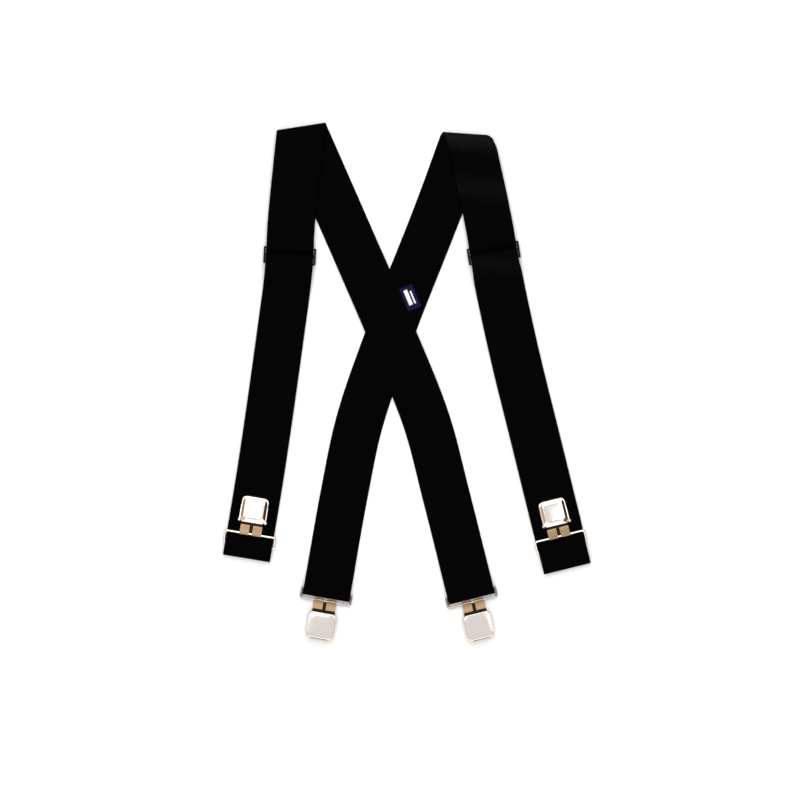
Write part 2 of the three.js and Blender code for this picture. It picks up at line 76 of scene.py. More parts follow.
# ---- Sizes, in metres, as in the frame's own parts ----
MM = 0.001
WEB_WIDTH = 50.8 * MM
WEB_THICK = 1.4 * MM
LAYER_GAP = 0.2 * MM
METAL_GAP = 0.3 * MM
STEP = WEB_THICK + LAYER_GAP
LOW = WEB_THICK / 2

WIRE = 2.3 * MM
RING_WIDTH = 56 * MM
RING_PITCH = 11.9 * MM
RING_BEND = 2.4 * MM
BAR_LOW = WEB_THICK + METAL_GAP + WIRE / 2
HIGH = 2 * BAR_LOW - LOW

SHEET = 0.8 * MM
TAB_OUTER = WIRE / 2 + METAL_GAP + SHEET
TAB_INNER = TAB_OUTER - SHEET
BASE_WIDTH = 23.5 * MM
BASE_LENGTH = 41 * MM
TAB_END = 9.5 * MM
TAB_SLOT = 3.4 * MM
PIVOT = (14 * MM, 3.4 * MM)
PIN_RADIUS = 0.8 * MM
LEVER_WIDTH = 29 * MM
LEVER_START = 12.2 * MM
LEVER_END = 40 * MM
LEVER_TOP = 6.4 * MM
PANEL_RISE = 1 * MM
BACK_PANEL_RISE = -0.22 * MM

SLIDE_BAR = 1.6 * MM
SLIDE_PITCH = 8 * MM
SLIDE_HALF = 26.9 * MM
SLIDE_RAIL = 2.2 * MM
SLIDE_TAB = 24 * MM
WRAP = SLIDE_BAR / 2 + METAL_GAP + WEB_THICK / 2
SLIDE_Z = WRAP + STEP + LOW + 0.1 * MM

FOLD_RADIUS = 3 * MM
BACK_EDGE_TO_BAR = 8.4 * MM
BACK_TAB = 38 * MM
CROSSING_FLAT = 68 * MM
CROSSING_RAMP = 100 * MM
LOWER_RAMP = 32 * MM
SEAM_INSET = 3 * MM

CAMERA_LENS = 170
CAMERA_SENSOR = 36
CAMERA_VIEW_WIDTH = 0.856
CAMERA_OFFSET = (-7.2 * MM, -19.4 * MM)
FLOOR_LEVEL = -0.32 * MM
LIGHT_COLOUR = (0.93, 0.97, 1.0)
LIGHTS = (
    ("overhead_left", (-0.70, 0.29, 2.4), 1.2, 9),
    ("overhead_right", (0.87, 0.29, 2.4), 1.2, 9),
    ("key", (0.0, 2.1, 1.9), 2.6, 54),
    ("fill", (0.0, -2.3, 1.9), 3.0, 44),
)

# ---- Each strap's middle line from the shoulder down, in millimetres ----
# A sheen band is (distance from the fold, width, strength) of a paler stretch across the webbing: painted
# sheen, where light catches the strap near the fold.
LEFT_SHOULDER = (-114.0, 272.1)
RIGHT_SHOULDER = (65.9, 264.1)
CROSSING = (-18.3, 52.6)
PLANS = {
    "left": {
        "back": [
            LEFT_SHOULDER, (-69.6, 171.0), CROSSING, (20.0, -43.0), (40.4, -120.1), (68.7, -233.3),
        ],
        "front": [
            LEFT_SHOULDER, (-124.3, 171.0), (-127.2, 119.6), (-136.0, 51.1), (-155.5, -85.8),
            (-172.6, -190.0),
        ],
        "slide_y": 133.5,
        "sheen_bands": (),
        "edge_to_bar": 15 * MM,
        "fuller": 0.0,
        "curl": 0.0,
    },
    "right": {
        "back": [
            (62.7, 264.4), (31.6, 179.5), CROSSING, (-51.3, -43.0), (-67.8, -120.1), (-87.6, -232.4),
        ],
        "front": [
            RIGHT_SHOULDER, (86.0, 171.0), (94.8, 119.6), (113.0, 34.0), (138.2, -68.7), (170.8, -201.1),
        ],
        "slide_y": 136.5,
        "sheen_bands": ((6 * MM, 9 * MM, 0.75), (57 * MM, 11 * MM, 0.28), (138 * MM, 9 * MM, 0.25)),
        "edge_to_bar": 24.5 * MM,
        "fuller": 0.04,
        "curl": 11 * MM,
    },
}

JOINTS = {j["name"]: j for j in frame["joints"]}
UP = Vector((0, 0, 1))
QUARTERS = ((-1, -1), (1, -1), (1, 1), (-1, 1))


def smooth(x, low, high):
    t = min(1.0, max(0.0, (x - low) / (high - low)))
    return t * t * (3 - 2 * t)


def mix(a, b, t):
    return a + (b - a) * t


# ---- Routes: a strap's middle line seen from above ----
class Route:
    """A smooth curve through the plan's points, measured by the distance from the shoulder."""

    def __init__(self, points, shift=(0.0, 0.0)):
        knots = np.array(points, float) * MM + np.array(shift)
        first = 2 * knots[0] - knots[1]
        last = 2 * knots[-1] - knots[-2]
        knots = np.vstack([first, knots, last])
        dense = []
        for i in range(1, len(knots) - 2):
            dense += self.span(*knots[i - 1:i + 3])
        dense.append(knots[-2])
        self.points = np.array(dense)
        steps = np.linalg.norm(np.diff(self.points, axis=0), axis=1)
        self.distance = np.concatenate([[0.0], np.cumsum(steps)])
        self.length = float(self.distance[-1])

    @staticmethod
    def span(p0, p1, p2, p3, samples=60):
        """The stretch from p1 to p2 of a centripetal Catmull-Rom curve."""
        t = [math.sqrt(np.linalg.norm(b - a)) for a, b in ((p0, p1), (p1, p2), (p2, p3))]
        m1 = ((p1 - p0) / t[0] - (p2 - p0) / (t[0] + t[1]) + (p2 - p1) / t[1]) * t[1]
        m2 = ((p2 - p1) / t[1] - (p3 - p1) / (t[1] + t[2]) + (p3 - p2) / t[2]) * t[1]
        found = []
        for k in range(samples):
            s = k / samples
            found.append(
                p1
                + m1 * s
                + (3 * (p2 - p1) - 2 * m1 - m2) * s ** 2
                + (2 * (p1 - p2) + m1 + m2) * s ** 3
            )
        return found

    def point(self, q):
        x = np.interp(q, self.distance, self.points[:, 0])
        y = np.interp(q, self.distance, self.points[:, 1])
        return Vector((x, y, 0))

    def way(self, q):
        reach = 0.6 * MM
        low, high = max(0.0, q - reach), min(self.length, q + reach)
        return (self.point(high) - self.point(low)).normalized()

    def at_y(self, y):
        order = np.argsort(self.points[:, 1])
        return float(np.interp(y, self.points[order, 1], self.distance[order]))


def centre(node):
    low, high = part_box(node)
    return (Vector(low) + Vector(high)) / 2


drawn = Route(PLANS["left"]["front"])
at_slide = drawn.point(drawn.at_y(PLANS["left"]["slide_y"] * MM))
SHIFT = (centre("left_adjuster_slide") - at_slide)[:2]


def way_at_crossing(route):
    return route.way(route.at_y(CROSSING[1] * MM + SHIFT[1]))


# ---- Side views: (distance from the shoulder, height) along a strap ----
class Side:
    def __init__(self, x, z):
        self.points = [(x, z)]

    def line(self, x, z, step=4 * MM):
        x0, z0 = self.points[-1]
        n = max(1, math.ceil(math.hypot(x - x0, z - z0) / step))
        self.points += [(mix(x0, x, k / n), mix(z0, z, k / n)) for k in range(1, n + 1)]
        return self

    def arc(self, x, z, radius, start, end, step=14):
        n = max(2, math.ceil(abs(end - start) / step))
        turns = [math.radians(mix(start, end, k / n)) for k in range(n + 1)]
        self.points += [(x + radius * math.cos(a), z + radius * math.sin(a)) for a in turns]
        return self

    def ease(self, x, z, n=12):
        x0, z0 = self.points[-1]
        for k in range(1, n + 1):
            t = k / n
            b = 3 * t * (1 - t) / 2
            self.points.append((
                x0 + (x - x0) * (b * (1 - t) + b * t + t ** 3),
                z0 + (z - z0) * (3 * (1 - t) * t ** 2 + t ** 3),
            ))
        return self

    def follow(self, start, end, height, n=16):
        for k in range(1, n + 1):
            x = mix(start, end, k / n)
            self.points.append((x, height(x)))
        return self

    def turn_round(self, edge, first, second):
        radius = abs(second - first) / 2
        middle = edge - WEB_THICK / 2 - radius
        self.line(middle, first)
        up = 1 if second > first else -1
        return self.arc(middle, (first + second) / 2, radius, -90 * up, 90 * up)

    def clean(self):
        kept = [self.points[0]]
        for p in self.points[1:]:
            if math.dist(p, kept[-1]) > 0.03 * MM:
                kept.append(p)
        return kept


# ---- Webbing ----
RIBS = 30
SELVEDGE = 2.6 * MM
RIB_DEPTH = 0.09 * MM


def web_section():
    """The webbing's outline across its width: ribs between two plain selvedges."""
    half, thick = WEB_WIDTH / 2, WEB_THICK / 2
    flat = half - SELVEDGE
    side = [(-half + 0.35 * MM, thick * 0.86), (-half + 1.0 * MM, thick), (-flat - 0.35 * MM, thick)]
    ribs = []
    for k in range(2 * RIBS + 1):
        valley = k % 2 == 0
        ribs.append((mix(-flat, flat, k / (2 * RIBS)), thick - (RIB_DEPTH if valley else 0)))
    mirror = [(-x, z) for x, z in reversed(side)]
    top = [(-half + 0.05 * MM, thick * 0.45)] + side + ribs + mirror + [(half - 0.05 * MM, thick * 0.45)]
    bottom = [(x, -z) for x, z in reversed(top)]
    return top + bottom


SECTION = web_section()


def new_object(name, mesh_or_bm):
    if isinstance(mesh_or_bm, bmesh.types.BMesh):
        mesh = bpy.data.meshes.new(name)
        bmesh.ops.recalc_face_normals(mesh_or_bm, faces=mesh_or_bm.faces)
        mesh_or_bm.to_mesh(mesh)
        mesh_or_bm.free()
    else:
        mesh = mesh_or_bm
    obj = bpy.data.objects.new(name, mesh)
    bpy.context.scene.collection.objects.link(obj)
    for polygon in mesh.polygons:
        polygon.use_smooth = True
    mesh.set_sharp_from_angle(angle=math.radians(50))
    return obj


def curled(middle, across, w, fold):
    """Draws in the outer edge close to the fold, where the webbing's corner curls over."""
    if not fold or not fold["curl"] or w * across.x <= 0:
        return w
    half = math.copysign(WEB_WIDTH / 2, w)
    away = (fold["top"] - middle - across * half).dot(fold["normal"])
    reach = fold["curl"]
    if away >= reach:
        return w
    inset = reach - math.sqrt(max(0.0, reach ** 2 - (reach - max(0.0, away)) ** 2))
    return w * (1 - 0.8 * inset / (WEB_WIDTH / 2))


def ribbon(name, stations, fold=None, start=0.0):
    """A strip of webbing through stations of (middle, across, up). UVs are metres across and along."""
    n = len(SECTION)
    points, along = [], [start]
    for i, (middle, across, up) in enumerate(stations):
        if i:
            along.append(along[-1] + (middle - stations[i - 1][0]).length)
        points += [middle + across * curled(middle, across, w, fold) + up * t for w, t in SECTION]
    faces, uvs = [], []
    edge = [0.0]
    for k in range(n):
        (w0, t0), (w1, t1) = SECTION[k], SECTION[(k + 1) % n]
        edge.append(edge[-1] + math.hypot(w1 - w0, t1 - t0))
    for i in range(len(stations) - 1):
        for k in range(n):
            a, b = i * n + k, i * n + (k + 1) % n
            faces.append((a, b, b + n, a + n))
            here, after = along[i], along[i + 1]
            uvs += [(edge[k], here), (edge[k + 1], here), (edge[k + 1], after), (edge[k], after)]
    last = (len(stations) - 1) * n
    half = n // 2
    for base, flip in ((0, True), (last, False)):
        for k in range(half - 1):
            quad = [base + k, base + k + 1, base + n - 2 - k, base + n - 1 - k]
            quad = quad[::-1] if flip else quad
            faces.append(tuple(quad))
            uvs += [(edge[q - base], along[-1]) for q in quad]
    mesh = bpy.data.meshes.new(name)
    mesh.from_pydata([tuple(p) for p in points], [], faces)
    layer = mesh.uv_layers.new(name="web")
    layer.data.foreach_set("uv", [c for uv in uvs for c in uv])
    mesh.validate()
    bm = bmesh.new()
    bm.from_mesh(mesh)
    bmesh.ops.recalc_face_normals(bm, faces=bm.faces)
    bm.to_mesh(mesh)
    bm.free()
    # Painted sheen: paler bands across the webbing at set distances from the fold, kept as a point
    # attribute.
    if fold and fold["sheen_bands"]:
        painted_sheen = mesh.attributes.new("painted_sheen", "FLOAT", "POINT")
        for i, vertex in enumerate(mesh.vertices):
            away = (fold["top"] - vertex.co).dot(fold["normal"])
            painted_sheen.data[i].value = sum(k * math.exp(-((away - c) / w) ** 2) for c, w, k in fold["sheen_bands"])
    obj = new_object(name, mesh)
    obj.data.materials.append(WEBBING)
    return obj


def stations_along(route, side, fold=None, swell=None):
    """Stations along a side view; the webbing may swell in width between two places."""
    flat = side.clean()
    middles = [route.point(x) + UP * z for x, z in flat]
    found = []
    for i, (x, _) in enumerate(flat):
        along = (middles[min(i + 1, len(flat) - 1)] - middles[max(i - 1, 0)]).normalized()
        way = route.way(x)
        square = Vector((-way.y, way.x, 0))
        across = square.copy()
        if fold:
            lean = fold["line"].dot(way) / fold["line"].dot(square)
            across += way * lean * (1 - smooth(x, 12 * MM, 70 * MM))
        up = -along.cross(square).normalized()
        if swell:
            share, start, end = swell
            rising = smooth(x, start, start + 20 * MM)
            falling = 1 - 0.7 * smooth(x, end - 25 * MM, end)
            across *= 1 + share * rising * falling
        found.append((middles[i], across, up))
    return found


def shoulder_fold(back, front, curl=0.0, sheen_bands=()):
    up_back, up_front = -back.way(0), -front.way(0)
    normal = (up_back + up_front).normalized()
    depth = FOLD_RADIUS + WEB_THICK / 2
    apart = (front.point(0) - back.point(0)).dot(normal)
    return {
        "line": Vector((normal.y, -normal.x, 0)),
        "normal": normal,
        "top": back.point(0),
        "depth": depth,
        "height": LOW + FOLD_RADIUS,
        "curl": curl,
        "sheen_bands": sheen_bands,
        "back_start": depth / up_back.dot(normal),
        "front_start": (depth + apart) / up_front.dot(normal),
    }


def fold_stations(back, front, fold, steps=22):
    start = back.point(fold["back_start"]) - fold["top"]
    end = front.point(fold["front_start"]) - fold["top"]
    way = back.way(0)
    stretch = 1 / abs(fold["line"].dot(Vector((-way.y, way.x, 0))))
    found = []
    for i in range(steps + 1):
        turn = math.pi * i / steps
        out = fold["normal"] * math.sin(turn) - UP * math.cos(turn)
        sidestep = mix(start.dot(fold["line"]), end.dot(fold["line"]), i / steps)
        middle = fold["top"] + fold["line"] * sidestep - fold["normal"] * fold["depth"]
        middle = middle + out * FOLD_RADIUS + UP * fold["height"]
        found.append((middle, -fold["line"] * stretch, out))
    return found


# ---- Materials ----
def new_material(name):
    material = bpy.data.materials.new(name)
    material.use_nodes = True
    nodes = material.node_tree.nodes
    return material, nodes, material.node_tree.links, nodes["Principled BSDF"]


def math_node(nodes, links, operation, a, b=None):
    node = nodes.new("ShaderNodeMath")
    node.operation = operation
    for socket, value in zip(node.inputs, (a, b)):
        if value is None:
            continue
        if isinstance(value, (int, float)):
            socket.default_value = value
        else:
            links.new(value, socket)
    return node.outputs[0]


def webbing_material():
    """Black ribbed elastic: fine picks across each rib, offset from rib to rib."""
    material, nodes, links, shader = new_material("elastic_webbing")
    shader.inputs["Roughness"].default_value = 0.55
    shader.inputs["Specular IOR Level"].default_value = 0.012
    uv = nodes.new("ShaderNodeUVMap")
    uv.uv_map = "web"
    split = nodes.new("ShaderNodeSeparateXYZ")
    links.new(uv.outputs[0], split.inputs[0])
    rib = (WEB_WIDTH - 2 * SELVEDGE) / RIBS
    pick = 0.85 * MM
    across = math_node(nodes, links, "DIVIDE", split.outputs[0], rib)
    parity = math_node(nodes, links, "MODULO", math_node(nodes, links, "FLOOR", across), 2)
    along = math_node(nodes, links, "DIVIDE", split.outputs[1], pick)
    phase = math_node(nodes, links, "ADD", along, math_node(nodes, links, "MULTIPLY", parity, 0.5))
    wave = math_node(nodes, links, "SINE", math_node(nodes, links, "MULTIPLY", phase, 2 * math.pi))
    noise = nodes.new("ShaderNodeTexNoise")
    noise.inputs["Scale"].default_value = 2600
    noise.inputs["Detail"].default_value = 3
    links.new(uv.outputs[0], noise.inputs["Vector"])
    height = math_node(nodes, links, "ADD", wave, noise.outputs[0])
    bump = nodes.new("ShaderNodeBump")
    bump.inputs["Strength"].default_value = 0.55
    bump.inputs["Distance"].default_value = 0.05 * MM
    links.new(height, bump.inputs["Height"])
    links.new(bump.outputs[0], shader.inputs["Normal"])
    ramp = nodes.new("ShaderNodeValToRGB")
    ramp.color_ramp.elements[0].color = (0.0002, 0.0002, 0.00022, 1)
    ramp.color_ramp.elements[1].color = (0.0008, 0.0008, 0.0009, 1)
    shade = math_node(nodes, links, "ADD", math_node(nodes, links, "MULTIPLY", wave, 0.4), 0.5)
    links.new(shade, ramp.inputs[0])
    # Painted sheen: the bands from the mesh, made patchy by a coarse noise, mix the black towards a pale
    # grey.
    painted_sheen = nodes.new("ShaderNodeAttribute")
    painted_sheen.attribute_name = "painted_sheen"
    patchy = nodes.new("ShaderNodeTexNoise")
    patchy.inputs["Scale"].default_value = 60
    links.new(uv.outputs[0], patchy.inputs["Vector"])
    colour = nodes.new("ShaderNodeMix")
    colour.data_type = "RGBA"
    colour.inputs["B"].default_value = (0.016, 0.015, 0.015, 1)
    sheen_mask = math_node(nodes, links, "MULTIPLY", painted_sheen.outputs["Fac"], patchy.outputs[0])
    links.new(sheen_mask, colour.inputs["Factor"])
    links.new(ramp.outputs[0], colour.inputs["A"])
    links.new(colour.outputs["Result"], shader.inputs["Base Color"])
    return material


def grained_material(name, colour, roughness, scale, strength, distance):
    """One colour whose gloss and surface vary with a fine grain."""
    material, nodes, links, shader = new_material(name)
    coordinate = nodes.new("ShaderNodeTexCoord")
    noise = nodes.new("ShaderNodeTexNoise")
    noise.inputs["Scale"].default_value = scale
    links.new(coordinate.outputs["Object"], noise.inputs["Vector"])
    ramp = nodes.new("ShaderNodeMapRange")
    ramp.inputs["To Min"].default_value, ramp.inputs["To Max"].default_value = roughness
    links.new(noise.outputs[0], ramp.inputs["Value"])
    links.new(ramp.outputs[0], shader.inputs["Roughness"])
    shader.inputs["Base Color"].default_value = (*colour, 1)
    bump = nodes.new("ShaderNodeBump")
    bump.inputs["Strength"].default_value = strength
    bump.inputs["Distance"].default_value = distance
    links.new(noise.outputs[0], bump.inputs["Height"])
    links.new(bump.outputs[0], shader.inputs["Normal"])
    return material, noise, shader


def nickel_material(name, colour, smoothest, roughest):
    """Bright nickel plate with a faint brushed grain and fine handling marks."""
    material, noise, shader = grained_material(name, colour, (smoothest, roughest), 900, 0.08, 0.02 * MM)
    noise.inputs["Detail"].default_value = 4
    shader.inputs["Metallic"].default_value = 1
    return material


def dark_material(name, colour, roughness, specular=0.3, scale=700):
    around = (roughness * 0.85, roughness * 1.15)
    material, _, shader = grained_material(name, colour, around, scale, 0.15, 0.04 * MM)
    shader.inputs["Specular IOR Level"].default_value = specular
    return material


def label_material():
    """Navy satin weave; a wide and a narrow pale bar woven along its length."""
    material, nodes, links, shader = new_material("label_weave")
    shader.inputs["Roughness"].default_value = 0.6
    shader.inputs["Specular IOR Level"].default_value = 0.1
    uv = nodes.new("ShaderNodeUVMap")
    uv.uv_map = "web"
    split = nodes.new("ShaderNodeSeparateXYZ")
    links.new(uv.outputs[0], split.inputs[0])
    x, y = split.outputs[0], split.outputs[1]

    def bar(middle_x, middle_y, wide, long):
        in_x = math_node(nodes, links, "ABSOLUTE", math_node(nodes, links, "SUBTRACT", x, middle_x))
        in_y = math_node(nodes, links, "ABSOLUTE", math_node(nodes, links, "SUBTRACT", y, middle_y))
        narrow = math_node(nodes, links, "LESS_THAN", in_x, wide / 2)
        short = math_node(nodes, links, "LESS_THAN", in_y, long / 2)
        return math_node(nodes, links, "MULTIPLY", narrow, short)

    bars = math_node(nodes, links, "MAXIMUM", bar(-1.9 * MM, 1.0 * MM, 4.2 * MM, 17 * MM),
                     bar(2.9 * MM, -0.5 * MM, 1.8 * MM, 14 * MM))
    weave = nodes.new("ShaderNodeTexWave")
    weave.inputs["Scale"].default_value = 900
    links.new(uv.outputs[0], weave.inputs["Vector"])
    colour = nodes.new("ShaderNodeMix")
    colour.data_type = "RGBA"
    colour.inputs["A"].default_value = (0.004, 0.002, 0.030, 1)
    colour.inputs["B"].default_value = (0.75, 0.75, 0.78, 1)
    links.new(bars, colour.inputs["Factor"])
    links.new(colour.outputs["Result"], shader.inputs["Base Color"])
    bump = nodes.new("ShaderNodeBump")
    bump.inputs["Strength"].default_value = 0.3
    bump.inputs["Distance"].default_value = 0.05 * MM
    links.new(math_node(nodes, links, "ADD", weave.outputs["Fac"], bars), bump.inputs["Height"])
    links.new(bump.outputs[0], shader.inputs["Normal"])
    return material


WEBBING = webbing_material()
LABEL = label_material()
THREAD = dark_material("black_thread", (0.001, 0.001, 0.001), 0.6, 0.04, 2500)
NAVY_THREAD = dark_material("navy_thread", (0.004, 0.003, 0.025), 0.6, 0.04, 2500)
NICKEL = nickel_material("nickel_plate", (0.80, 0.73, 0.67), 0.05, 0.12)
# A darker grey copy of the nickel plate for the back clips' rings: painted shade.
NICKEL_WIRE_PAINTED_SHADE = nickel_material("nickel_wire_painted_shade", (0.40, 0.40, 0.40), 0.08, 0.16)
# A darker, browner copy of the nickel plate for the base plates: painted shade and warm reflection.
NICKEL_PAINTED_SHADE = nickel_material("nickel_plate_painted_shade", (0.27, 0.18, 0.105), 0.14, 0.28)
# Near-black inner face of the base plate, under the lever: painted shade.
INNER_PAINTED_SHADE = nickel_material("inner_face_painted_shade", (0.022, 0.014, 0.008), 0.3, 0.45)
ENAMEL = dark_material("black_enamel", (0.002, 0.002, 0.002), 0.4, 0.1)
GRIP = dark_material("moulded_grip", (0.02, 0.02, 0.021), 0.6)


# ---- Straps ----
def bind(piece, body, *nodes):
    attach(piece, body)
    if nodes:
        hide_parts(*nodes)


def back_strap(name, route, fold, lifted):
    edge = route.length
    crossing = route.at_y(CROSSING[1] * MM + SHIFT[1])
    tab_start = edge - BACK_TAB
    side = Side(fold["back_start"], LOW)
    if lifted:
        side.line(crossing - CROSSING_RAMP, LOW).ease(crossing - CROSSING_FLAT, LOW + STEP)
        side.line(crossing + CROSSING_FLAT, LOW + STEP).ease(crossing + CROSSING_RAMP, LOW)
    side.line(tab_start - 16 * MM, LOW).ease(tab_start - 4 * MM, LOW + STEP)
    side.line(tab_start + 8 * MM, LOW + STEP).ease(edge - BACK_EDGE_TO_BAR - 3 * MM, HIGH)
    side.turn_round(edge, HIGH, LOW).line(tab_start, LOW)
    plain = {**fold, "sheen_bands": ()}
    piece = ribbon(f"{name}_back_webbing", stations_along(route, side, fold), plain)
    bind(piece, "back_straps", f"{name}_back_strap", f"{name}_back_sewn_end")
    reach = WEB_WIDTH / 2 - SEAM_INSET
    seam = LOW + STEP + WEB_THICK / 2
    rows = [row_across(route, tab_start + d * MM, seam, reach) for d in (3.5, 6.5)]
    rows.append(row_across(route, tab_start + 4 * MM, 0.1 * MM, reach, -UP))
    thread(f"{name}_back_stitches", rows, "back_straps")


def fold_piece(name, back, front, fold):
    piece = ribbon(f"{name}_fold_webbing", fold_stations(back, front, fold), fold)
    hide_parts(f"{name}_shoulder_fold")
    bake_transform(piece)


def front_strap(name, route, fold, plan):
    slide = route.at_y(plan["slide_y"] * MM + SHIFT[1])
    edge = route.length
    edge_to_bar = plan["edge_to_bar"]
    upper, lower = slide - SLIDE_PITCH, slide + SLIDE_PITCH
    under = WRAP + STEP
    slope = math.degrees(math.asin((WRAP + under) / SLIDE_PITCH))
    landed = lower + LOWER_RAMP
    cut = landed + 4 * MM
    swell = (plan["fuller"], lower + 2 * MM, edge - edge_to_bar)
    high = SLIDE_Z + WRAP
    tab_end = slide + SLIDE_TAB

    def main(x):
        return mix(high, LOW, smooth(x, lower, landed))

    def over_tab(x):
        return main(x) + STEP * (2 - smooth(x, tab_end + MM, cut - MM))

    top = Side(fold["front_start"], fold["height"] + FOLD_RADIUS)
    top.ease(fold["front_start"] + 85 * MM, high - 1.2 * MM).ease(upper - 8 * MM, high)
    piece = ribbon(f"{name}_upper_webbing", stations_along(route, top, fold), fold)
    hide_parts(f"{name}_front_upper")
    start = route.point(fold["front_start"] + 10 * MM)
    route.point(upper - 8 * MM)
    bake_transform(piece)

    throat = Side(upper - 8 * MM, high).line(upper, high)
    throat.arc(upper, SLIDE_Z, WRAP, 90, 90 - slope)
    throat.arc(slide, SLIDE_Z, under, -90 - slope, -90 + slope)
    throat.arc(lower, SLIDE_Z, WRAP, 90 + slope, 90)
    throat.follow(lower, cut, main)
    piece = ribbon(f"{name}_throat_webbing", stations_along(route, throat, swell=swell), fold)
    bind(piece, f"{name}_adjuster", f"{name}_front_throat")

    over = WRAP + 2 * STEP
    lean = math.degrees(math.asin((over - WRAP) / SLIDE_PITCH))
    sewn = Side(cut, LOW + STEP).follow(cut, lower, over_tab)
    sewn.arc(lower, SLIDE_Z, over, 90, 90 + lean)
    sewn.arc(slide, SLIDE_Z, WRAP, 90 + lean, 270 + slope)
    sewn.arc(lower, SLIDE_Z, WRAP + STEP, 90 + slope, 90)
    sewn.follow(lower, tab_end, lambda x: main(x) + STEP)
    piece = ribbon(f"{name}_sewn_webbing", stations_along(route, sewn, swell=swell), fold)
    bind(piece, f"{name}_adjuster", f"{name}_front_sewn_end")
    reach = WEB_WIDTH / 2 - SEAM_INSET
    rows = []
    for d in (4 * MM, 7 * MM):
        top_face = over_tab(tab_end - d) + WEB_THICK / 2
        rows.append(row_across(route, tab_end - d, top_face, reach))
    thread(f"{name}_tab_stitches", rows, f"{name}_adjuster")

    bar = edge - edge_to_bar
    split = bar - 3 * MM
    still = route.point(split - 70 * MM)
    low = Side(cut, LOW).line(split, LOW)
    piece = ribbon(f"{name}_lower_webbing", stations_along(route, low, swell=swell))
    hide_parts(f"{name}_front_lower")
    route.point(cut)
    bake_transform(piece)
    back = Side(cut, LOW + STEP).line(bar - 10 * MM, LOW + STEP).ease(split, HIGH - 0.25 * MM)
    piece = ribbon(f"{name}_return_webbing", stations_along(route, back, swell=swell))
    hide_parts(f"{name}_front_return")
    route.point(cut)
    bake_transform(piece)

    loop = Side(split, LOW).turn_round(edge, LOW, HIGH).line(bar, HIGH).ease(split, HIGH - 0.25 * MM)
    piece = ribbon(f"{name}_loop_webbing", stations_along(route, loop, swell=swell))
    bind(piece, f"{name}_front_end", f"{name}_front_loop")
    route.way(edge)
    route.point(split)
    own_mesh(piece)
    return slide


# ---- Sewing thread: short capsules lying on the webbing ----
THREAD_RADIUS = 0.24 * MM
STITCH = 2.6 * MM
STITCH_PITCH = 3.3 * MM


def thread_row(bm, a, b, up, sides=8):
    """Stitches from a to b along the surface whose upward direction is given."""
    a, b = Vector(a), Vector(b)
    n = max(1, round((b - a).length / STITCH_PITCH))
    way = (b - a).normalized()
    square = way.cross(up).normalized()
    for k in range(n):
        middle = a.lerp(b, (k + 0.5) / n)
        rows = []
        for j in range(7):
            t = -1 + j / 3
            dip = abs(t) ** 3
            radius = THREAD_RADIUS * math.sqrt(max(0.06, 1 - t ** 6))
            spot = middle + way * t * STITCH / 2 + up * THREAD_RADIUS * (0.55 - 0.9 * dip)
            row = []
            for i in range(sides):
                turn = 2 * math.pi * i / sides
                out = square * math.cos(turn) + up * math.sin(turn)
                row.append(bm.verts.new(spot + out * radius))
            rows.append(row)
        for low, high in zip(rows, rows[1:]):
            for i in range(sides):
                m = (i + 1) % sides
                bm.faces.new((low[i], low[m], high[m], high[i]))
        bm.faces.new(rows[0][::-1])
        bm.faces.new(rows[-1])


def thread(name, rows, body, material=THREAD):
    bm = bmesh.new()
    for row in rows:
        thread_row(bm, *row)
    obj = new_object(name, bm)
    obj.data.materials.append(material)
    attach(obj, body)


def row_across(route, x, z, reach, up=UP):
    """A row of stitches square across a strap, at a height above the table."""
    way = route.way(x)
    square = Vector((-way.y, way.x, 0))
    middle = route.point(x) + UP * z
    return (middle - square * reach, middle + square * reach, up)


def crossing_stitches(over, under):
    """A diamond of stitches just inside the edges of the place where the straps cross."""
    a, b = way_at_crossing(over), way_at_crossing(under)
    x, y = CROSSING[0] * MM + SHIFT[0], CROSSING[1] * MM + SHIFT[1]
    middle = Vector((x, y, LOW + STEP + WEB_THICK / 2))
    half = WEB_WIDTH / 2 - 3.2 * MM
    reach = half / abs(a.cross(b).z)
    corners = [middle + a * reach * i + b * reach * j for i, j in ((1, 1), (1, -1), (-1, -1), (-1, 1))]
    rows = [(corners[i - 1], corners[i], UP) for i in range(4)]
    thread("crossing_stitches", rows, "back_straps")


def label(over):
    """A woven navy label with two plain bars, sewn down at both ends."""
    wide, long, thick = 15 * MM, 26 * MM, 0.5 * MM
    way = way_at_crossing(over)
    matrix = Matrix.Rotation(math.atan2(way.y, way.x) + math.pi / 2, 4, "Z")
    matrix.translation = centre("label") - UP * 0.1 * MM
    outline = rounded([(a * wide / 2, b * long / 2, 0.5 * MM) for a, b in QUARTERS], 3)
    bm = bmesh.new()
    prism(bm, outline, -thick / 2, thick / 2)
    mesh_layer = bm.loops.layers.uv.new("web")
    for face in bm.faces:
        for loop in face.loops:
            loop[mesh_layer].uv = loop.vert.co.xy
    bm.transform(matrix)
    patch = new_object("woven_label", bm)
    patch.data.materials.append(LABEL)
    bevel(patch, 0.12 * MM)
    bind(patch, "back_straps", "label")
    across = matrix.to_3x3() @ Vector((wide / 2 - 0.8 * MM, 0, 0))
    rows = []
    for end in (-1, 1):
        middle = matrix @ Vector((0, end * (long / 2 - 1.3 * MM), thick / 2))
        rows.append((middle - across, middle + across, UP))
    thread("label_stitches", rows, "back_straps", NAVY_THREAD)


# ---- Metal parts, in the clip's own frame: x across, y to the tip, z up off the base ----
def bevel(obj, width=0.15 * MM, segments=2):
    modifier = obj.modifiers.new("edges", "BEVEL")
    modifier.width = width
    modifier.segments = segments
    modifier.limit_method = "ANGLE"
    modifier.angle_limit = math.radians(32)
    modifier.harden_normals = True
    return obj


